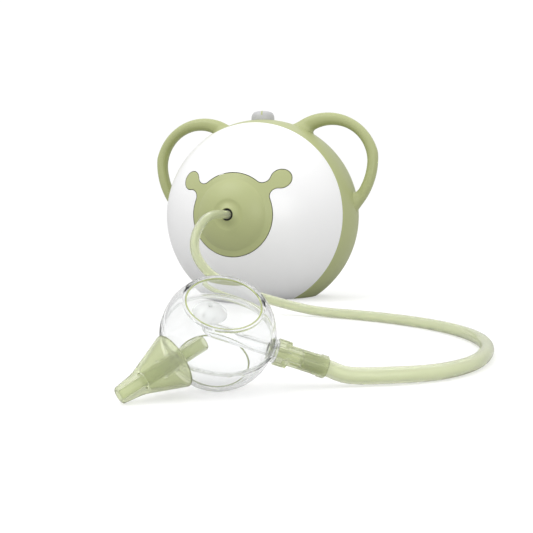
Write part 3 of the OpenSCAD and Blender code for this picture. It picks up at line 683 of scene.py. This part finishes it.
ear(1)
ear(-1)

# ---------------------------------------------------------------- knob
KNOB = Matrix.Translation((0, BALL_Y, KNOB_BASE))
KNOB_TURN = Matrix.Rotation(math.radians(12), 4, "Z")
KNOB_SIDE = [
    (11.2, 0), (11.35, 0.2), (11.32, 1.2), (11.2, 3), (10.98, 4.6), (10.6, 5.9), (10.05, 7),
    (9.3, 7.9), (8.3, 8.55), (7.1, 8.95), (5.4, 9.15), (3, 9.27), (0, 9.3),
]
verts, faces = revolved([(0, 0.6), (9.7, 0.6), (9.7, 0)] + KNOB_SIDE, 128)
knob = build("knob_cap", verts, faces, KNOB_GREY, place=KNOB)
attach(knob, "knob")
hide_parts("suction_knob")
# The mark follows the knob's shoulder, a little proud of it
MARK_PROUD = 0.07
MARK_DEEP = 0.8
MARK_HALF = 0.72
MARK_SIDE = [(r + MARK_PROUD, h + MARK_PROUD) for r, h in KNOB_SIDE[4:10]]
verts, faces = [], []
for along, (r, h) in enumerate(MARK_SIDE):
    for deep in (0, MARK_DEEP):
        verts += [
            (x, -math.sqrt((r - deep) ** 2 - x * x), h - deep * 0.4) for x in (-MARK_HALF, 0, MARK_HALF)
        ]
    if along:
        a, b = 6 * (along - 1), 6 * along
        faces += [(a, a + 1, b + 1, b), (a + 1, a + 2, b + 2, b + 1)]
        faces += [(a + 3, b + 3, b + 4, a + 4), (a + 4, b + 4, b + 5, a + 5)]
        faces += [(a, b, b + 3, a + 3), (a + 2, a + 5, b + 5, b + 2)]
last = 6 * (len(MARK_SIDE) - 1)
faces += [(0, 3, 4, 1), (1, 4, 5, 2)]
faces += [(last, last + 1, last + 4, last + 3), (last + 1, last + 2, last + 5, last + 4)]
mark = build("knob_line", verts, faces, GREEN_SHELL, place=KNOB @ KNOB_TURN)
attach(mark, "knob")
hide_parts("knob_mark")

# ---------------------------------------------------------------- collector head


def globe_profile(low, high, band_low, band_high, window):
    """Closed (radius, height) loop of one half of the globe, with a rim round its flat window."""
    inner_r = GLOBE_R - GLOBE_WALL
    sign = 1 if window > 0 else -1
    rim_r = math.sqrt(GLOBE_R ** 2 - WINDOW_Z ** 2)
    deck = window - sign * GLOBE_WALL
    deck_r = math.sqrt(inner_r ** 2 - deck ** 2)
    open_z = low if window > 0 else high
    band = band_high if window > 0 else band_low
    a0 = math.degrees(math.asin(open_z / inner_r))
    a1 = math.degrees(math.asin(deck / inner_r))
    b0 = math.degrees(math.asin((band + sign * 0.5) / GLOBE_R))
    b1 = math.degrees(math.asin((window - sign * 0.3) / GLOBE_R))
    inner_arc = arc(0, 0, inner_r, a0, a1, 24)
    outer_arc = arc(0, 0, GLOBE_R, b0, b1, 24)
    lip = GLOBE_R + 0.3
    recess = window - sign * 0.85
    points = inner_arc + [(deck_r * 0.6, deck), (0, deck), (0, recess), (15.0, recess)]
    points += [(15.25, recess + sign * 0.1), (15.4, window - sign * 0.2)]
    points += [(15.6, window), (rim_r - 0.25, window)]
    points += list(reversed(outer_arc))
    points += [(GLOBE_R + 0.05, band + sign * 0.1), (lip - 0.1, band), (lip, band - sign * 0.12)]
    points += [(lip, open_z + sign * 0.15), (lip - 0.15, open_z)]
    return points


def closed(name, profile, mat, place, count=128, sharp=28):
    """Solid whose profile is a closed loop, parts of which may lie on the axis."""
    verts, faces = revolved(profile, count, loop=True)
    return build(name, verts, faces, mat, place=place, sharp=sharp)


bowl = closed("globe_bowl", globe_profile(-WINDOW_Z, -0.5, -1.3, -0.5, -WINDOW_Z), CLEAR, HEAD)
boolean(bowl, [rod("neck_a", NECK_R, 21.4, 29, NOSE), rod("neck_b", 4.9, 21.6, 24.8, SPOUT)], "UNION")
boolean(bowl, [rod("bore_a", 3.05, 10, 40, NOSE), rod("bore_b", 2.95, 10, 40, SPOUT)], "DIFFERENCE", 28)
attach(bowl, "housing")
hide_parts("collector_bowl")

cap = closed("globe_cap", globe_profile(0.5, WINDOW_Z, 0.5, 1.1, WINDOW_Z), CLEAR, HEAD)
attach(cap, "cap")
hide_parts("collector_cap")

# Soft ring in the recess of each window; its green tint is a painted reflection of the green hose seen through
# the clear globe
RINGS = (("window_ring_upper", WINDOW_Z - 0.5, "cap"), ("window_ring_lower", 0.5 - WINDOW_Z, "housing"))
for name, height, body in RINGS:
    section = [(15.0 + x, height + z) for x, z in arc(0, 0, 0.3, 0, 315, 7)]
    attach(closed(name, section, RING_PAINTED_REFLECTION, HEAD, 128, 60), body)

# Inner pipe, turned up under the umbrella
up_axis = (HEAD.to_3x3() @ Vector((0, 0, 1))).normalized()
corner = SPOUT @ Vector((0, 0, -RISER_BACK))
pipe_line = [SPOUT @ Vector((0, 0, s)) for s in (24, 20, 16, 12, 8, 4, 0, -0.8)]
start, finish_at = SPOUT @ Vector((0, 0, -0.8)), corner + up_axis * 4.0
for i in range(1, 9):
    t = i / 8
    pipe_line.append(start * (1 - t) ** 2 + corner * 2 * t * (1 - t) + finish_at * t * t)
pipe_line.append(corner + up_axis * 6.5)
pipe = build("inner_pipe", *piped(pipe_line, 2.85, 2.0, 32), CLEAR, "housing", weld=0.0001)
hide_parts("outlet_tube")
UMBRELLA = HEAD @ Matrix.Rotation(SPOUT_TURN, 4, "Z") @ Matrix.Translation((-RISER_BACK, 0, 0))
profile = arc(0, 4.5, 8.7, 34, 84, 12) + [(0.95, 13.2), (0.9, 13.8), (0.5, 14.05), (0, 14.1)]
profile += [(0, 12.2)] + list(reversed(arc(0, 4.5, 7.7, 38, 88, 12)))
umbrella = closed("umbrella_baffle", profile, MILKY, UMBRELLA, 96)
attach(umbrella, "housing")
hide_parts("baffle_cup")

# Nose cone: outer skin, hollow behind it, tube through the middle
profile = [
    (1.9, 48), (2.9, 48), (3.35, 47.7), (3.5, 47.2), (4.0, 43.5), (4.5, 40.3), (5.0, 38.5), (11.25, 23.2),
    (11.4, 22.6), (11.3, 22.3), (10.9, 22.15), (10.2, 22.3), (9.95, 22.6), (4.3, 36.0), (3.6, 36.8),
    (2.95, 37.0), (2.95, 21), (3.2, 18.5), (3.25, 8.2), (3.05, 7.8), (2.3, 7.8), (2.1, 8.1), (2.0, 18),
]
cone = closed("nose_cone_skin", profile, CONE_SILICONE, NOSE, 96)
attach(cone, "housing")
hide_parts("nose_cone")
finish_node("hose_connector", CONNECTOR_GREEN)

# ---------------------------------------------------------------- floor and light


def floor_material(albedo, lift, seen_lift):
    """Pale matt floor. It looks whiter to the camera than the light it throws back up."""
    def fill(tree, shader):
        shades = [lin(c, c, c) for c in (albedo - 1, albedo + 1)]
        tree.links.new(ramp(tree, noise(tree, 8, 2), *shades), shader.inputs["Base Color"])
        shader.inputs["Roughness"].default_value = 0.7
        shader.inputs["Specular IOR Level"].default_value = 0.1
        shader.inputs["Emission Color"].default_value = (1, 1, 1, 1)
        path = tree.nodes.new("ShaderNodeLightPath")
        through = tree.nodes.new("ShaderNodeMath")
        through.operation = "MULTIPLY_ADD"
        through.inputs[1].default_value = 0.75
        tree.links.new(path.outputs["Is Transmission Ray"], through.inputs[0])
        tree.links.new(path.outputs["Is Camera Ray"], through.inputs[2])
        glow = spread(tree, through.outputs["Value"], lift, seen_lift)
        tree.links.new(glow, shader.inputs["Emission Strength"])
    return material("floor", fill)


FLOOR_HALF = 9000
corners = [(x * FLOOR_HALF, y * FLOOR_HALF, 0) for x, y in ((-1, -1), (1, -1), (1, 1), (-1, 1))]
floor = build("floor", corners, [(0, 1, 2, 3)], floor_material(182, 0.06, 0.52))
floor.location.z = -0.0002


def studio_world(overhead, level):
    """White backdrop; its light is strong from overhead and weaker from the sides."""
    world = bpy.data.worlds.new("studio")
    bpy.context.scene.world = world
    world.use_nodes = True
    tree = world.node_tree
    where = tree.nodes.new("ShaderNodeTexCoord")
    parts = tree.nodes.new("ShaderNodeSeparateXYZ")
    rise = tree.nodes.new("ShaderNodeMapRange")
    rise.inputs["From Min"].default_value = 0.0
    rise.inputs["From Max"].default_value = 0.9
    rise.inputs["To Min"].default_value = level
    rise.inputs["To Max"].default_value = overhead
    tree.links.new(where.outputs["Generated"], parts.inputs["Vector"])
    tree.links.new(parts.outputs["Z"], rise.inputs["Value"])
    dome = tree.nodes["Background"]
    tree.links.new(rise.outputs["Result"], dome.inputs["Strength"])
    dome.inputs["Color"].default_value = (1, 1, 1, 1)
    backdrop = tree.nodes.new("ShaderNodeBackground")
    seen = tree.nodes.new("ShaderNodeLightPath")
    pick = tree.nodes.new("ShaderNodeMixShader")
    tree.links.new(seen.outputs["Is Camera Ray"], pick.inputs["Fac"])
    tree.links.new(dome.outputs["Background"], pick.inputs[1])
    tree.links.new(backdrop.outputs["Background"], pick.inputs[2])
    tree.links.new(pick.outputs["Shader"], tree.nodes["World Output"].inputs["Surface"])
    backdrop.inputs["Color"].default_value = (1, 1, 1, 1)
    backdrop.inputs["Strength"].default_value = 1.02


studio_world(1.36, 0.6)


def area_light(name, location, aim, size, power):
    data = bpy.data.lights.new(name, "AREA")
    data.shape = "DISK"
    data.size = size
    data.energy = power
    obj = bpy.data.objects.new(name, data)
    obj.location = location
    obj.rotation_euler = (Vector(aim) - Vector(location)).to_track_quat("-Z", "Y").to_euler()
    bpy.context.scene.collection.objects.link(obj)


area_light("key", (-0.6, -1.0, 1.5), (0.05, -0.1, 0.05), 1.2, 9)
area_light("fill", (1.0, -1.2, 0.35), (0.05, 0, 0.06), 0.8, 4)
